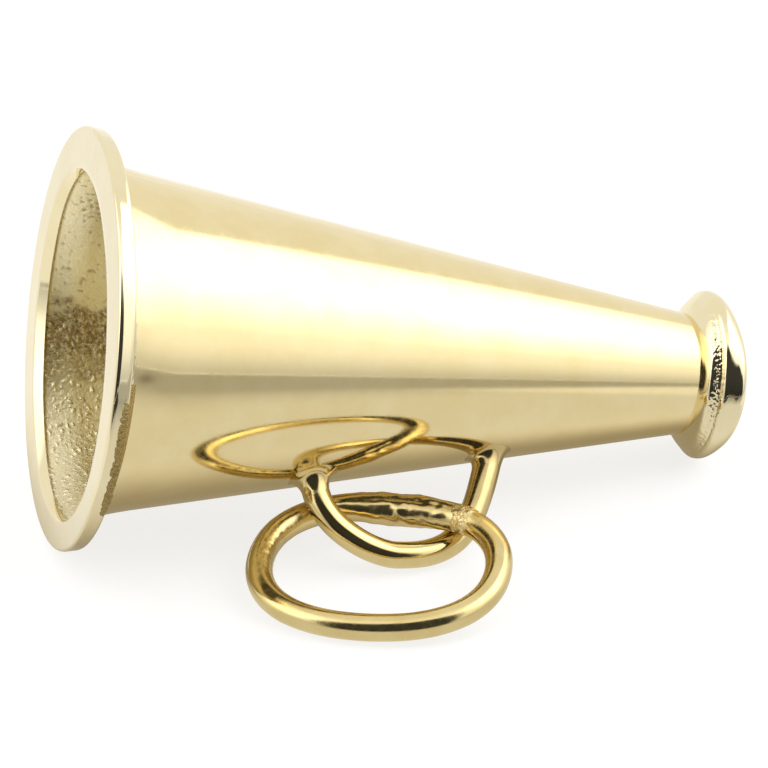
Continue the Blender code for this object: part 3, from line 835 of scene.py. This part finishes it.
def sky():
    """A white tent: a bright panel to the right, a softer one to the left and a dark opening at the front."""
    world = bpy.data.worlds.new("tent")
    bpy.context.scene.world = world
    world.use_nodes = True
    n = Nodes(world.node_tree)
    way = n.coordinates()["Generated"]

    def ramp(value, stops, interpolation):
        node = n.add("ShaderNodeValToRGB", {"Fac": value})
        node.color_ramp.interpolation = interpolation
        points = node.color_ramp.elements
        while len(points) < len(stops):
            points.new(0.5)
        for point, (place, level) in zip(points, stops):
            point.position = place
            point.color = (level, level, level, 1.0)
        return node.outputs["Color"]

    height = n.remap(n.dot(way, (0, 0, 1)), -0.1, 0.5, 0.0, 1.0)
    front = ramp(height, [(0.0, 0.25), (0.15, 0.28), (0.42, 0.45), (0.70, 0.60), (1.0, 0.64)], "B_SPLINE")
    backward = n.remap(n.dot(way, (0, 1, 0)), -0.30, 0.15, 0.0, 1.0)
    light = n.between(backward, n.math("MULTIPLY", front, FRONT_LIGHT), FAR_LIGHT)
    to_key = n.remap(n.dot(way, direction(*KEY_AT)), 0.70, 1.0, 0.0, 1.0)
    key = ramp(to_key, [(0.0, 0.0), (0.35, 0.16), (0.7, 0.5), (1.0, 1.0)], "B_SPLINE")
    edge = n.remap(n.dot(way, KEY_EDGE), -0.012, 0.012, 1.0, 0.0)
    light = n.math("ADD", light, n.math("MULTIPLY", n.math("MULTIPLY", key, KEY_LIGHT), edge))
    to_left = n.remap(n.dot(way, direction(*LEFT_AT)), 0.82, 0.97, 0.0, 1.0)
    left = ramp(to_left, [(0.0, 0.0), (1.0, 1.0)], "EASE")
    light = n.math("ADD", light, n.math("MULTIPLY", left, LEFT_LIGHT))
    opening = n.remap(n.dot(way, direction(*OPENING_AT)), 0.72, 0.80, 1.0, OPENING_LIGHT)
    light = n.math("MULTIPLY", light, opening)
    glow = n.add("ShaderNodeBackground", {"Color": (1.0, 0.995, 0.985, 1.0), "Strength": light})
    n.add("ShaderNodeOutputWorld", {"Surface": glow.outputs[0]})


def plane(name, half, z, material):
    """A square sheet of the stage, level at the height z."""
    mesh = bpy.data.meshes.new(name)
    corners = [(-half, -half, z), (half, -half, z), (half, half, z), (-half, half, z)]
    mesh.from_pydata(corners, [], [(0, 1, 2, 3)])
    mesh.materials.append(material)
    obj = bpy.data.objects.new(name, mesh)
    bpy.context.scene.collection.objects.link(obj)
    return obj


def floor():
    """The white table, which glows enough to look evenly lit."""
    material, n = new_material("white_table")
    blotches = n.noise(n.coordinates()["Object"], 60.0)
    tone = n.mix(blotches, (0.300, 0.300, 0.299, 1.0), (0.290, 0.290, 0.289, 1.0))
    shader = n.add("ShaderNodeBsdfPrincipled",
                   {"Base Color": tone, "Roughness": 0.9, "Specular IOR Level": 0.0,
                    "Emission Color": (1.0, 1.0, 0.998, 1.0), "Emission Strength": TABLE_GLOW})
    n.add("ShaderNodeOutputMaterial", {"Surface": shader.outputs[0]})
    plane("floor", 0.6, 0.0, material)


def painted_table_reflection():
    """A glowing sheet that only the gold sees: a painted reflection of the table, with painted shade in front,
    a painted dark stretch towards the opening and a warm painted shadow of the horn.
    """
    material, n = new_material("painted_table_reflection")
    place = n.coordinates()["Object"]
    spot = n.add("ShaderNodeSeparateXYZ", {0: place}).outputs
    from_middle = n.math("ABSOLUTE", spot["X"])

    # Painted shade in front, brighter behind and to the sides
    table = n.smooth(spot["Y"], -34 * MM, -12 * MM, FRONT_TABLE, MIDDLE_TABLE)
    table = n.smooth(spot["Y"], -6 * MM, 12 * MM, table, FAR_TABLE)
    outside = n.math("MULTIPLY", n.smooth(from_middle, 12 * MM, 18 * MM, 0.0, 1.0),
                     n.smooth(spot["Y"], -30 * MM, -14 * MM, 0.0, 1.0))
    table = n.smooth(outside, 0.0, 1.0, table, OUTER_TABLE)

    # A painted shadow of the horn, narrower towards the mouthpiece; lit is 0 inside it
    from_axis = n.math("ABSOLUTE", n.math("SUBTRACT", spot["Y"], HORN[1]))
    narrowing = n.remap(spot["X"], -10 * MM, 10 * MM, 1.0, 0.42)
    lit = n.smooth(n.math("DIVIDE", from_axis, narrowing), 1.5 * MM, 8.5 * MM, 0.0, 1.0)
    lit = n.math("MAXIMUM", lit, n.smooth(from_middle, 9.5 * MM, 13 * MM, 0.0, 1.0))
    glow = n.math("MULTIPLY", table, n.smooth(lit, 0.0, 1.0, PAINTED_HORN_SHADOW, 1.0))

    # A painted dark stretch in front, towards the opening
    ahead = n.dot(place, direction(OPENING_AT[0], 0))
    aside = n.math("ABSOLUTE", n.dot(place, direction(OPENING_AT[0] + 90, 0)))
    stretch = n.math("MULTIPLY", n.smooth(n.math("DIVIDE", aside, ahead), 0.40, 0.55, 1.0, 0.0),
                     n.smooth(ahead, 30 * MM, 42 * MM, 0.0, 1.0))
    glow = n.math("MULTIPLY", glow, n.smooth(stretch, 0.0, 1.0, 1.0, PAINTED_DARK_STRETCH))
    # Warm in the painted shadow
    tint = n.mix(lit, (1.0, 0.87, 0.62, 1.0), (1.0, 0.985, 0.955, 1.0))
    emission = n.add("ShaderNodeEmission", {"Color": tint, "Strength": glow})
    n.add("ShaderNodeOutputMaterial", {"Surface": emission.outputs[0]})
    card = plane("painted_table_reflection", 0.30, CARD_HEIGHT, material)
    card.visible_camera = card.visible_diffuse = card.visible_shadow = card.visible_transmission = False


def table_light():
    """A weak lamp overhead, which the gold doesn't mirror."""
    lamp = bpy.data.lights.new("table_light", "AREA")
    lamp.shape = "DISK"
    lamp.size = 0.5
    lamp.energy = 0.06
    obj = bpy.data.objects.new("table_light", lamp)
    obj.location = (0.0, 0.0, 0.5)
    obj.visible_glossy = False
    bpy.context.scene.collection.objects.link(obj)


def camera():
    """The photograph's own view."""
    low, high = (Vector(corner) for corner in cad_box)
    back = Vector((sin(CAMERA_AZIMUTH) * cos(CAMERA_ELEVATION), -cos(CAMERA_AZIMUTH) * cos(CAMERA_ELEVATION),
                   sin(CAMERA_ELEVATION)))
    data = bpy.data.cameras.new("camera")
    data.lens = CAMERA_LENS
    data.sensor_width = CAMERA_SENSOR
    data.clip_start = 5 * MM
    data.clip_end = 5.0
    obj = bpy.data.objects.new("camera", data)
    obj.location = (low + high) / 2 + CAMERA_AIM + back * CAMERA_DISTANCE
    obj.rotation_euler = (pi / 2 - CAMERA_ELEVATION, 0.0, CAMERA_AZIMUTH)
    bpy.context.scene.collection.objects.link(obj)
    bpy.context.scene.camera = obj


camera()
horn_shell()
bell_rim()
rim_seam()
rim_solder_run()
mouthpiece_bead()
mouthpiece_lip()
wire_loop()
link_wire()
link_joint()
sky()
floor()
painted_table_reflection()
table_light()
bpy.context.scene.view_settings.view_transform = "Standard"
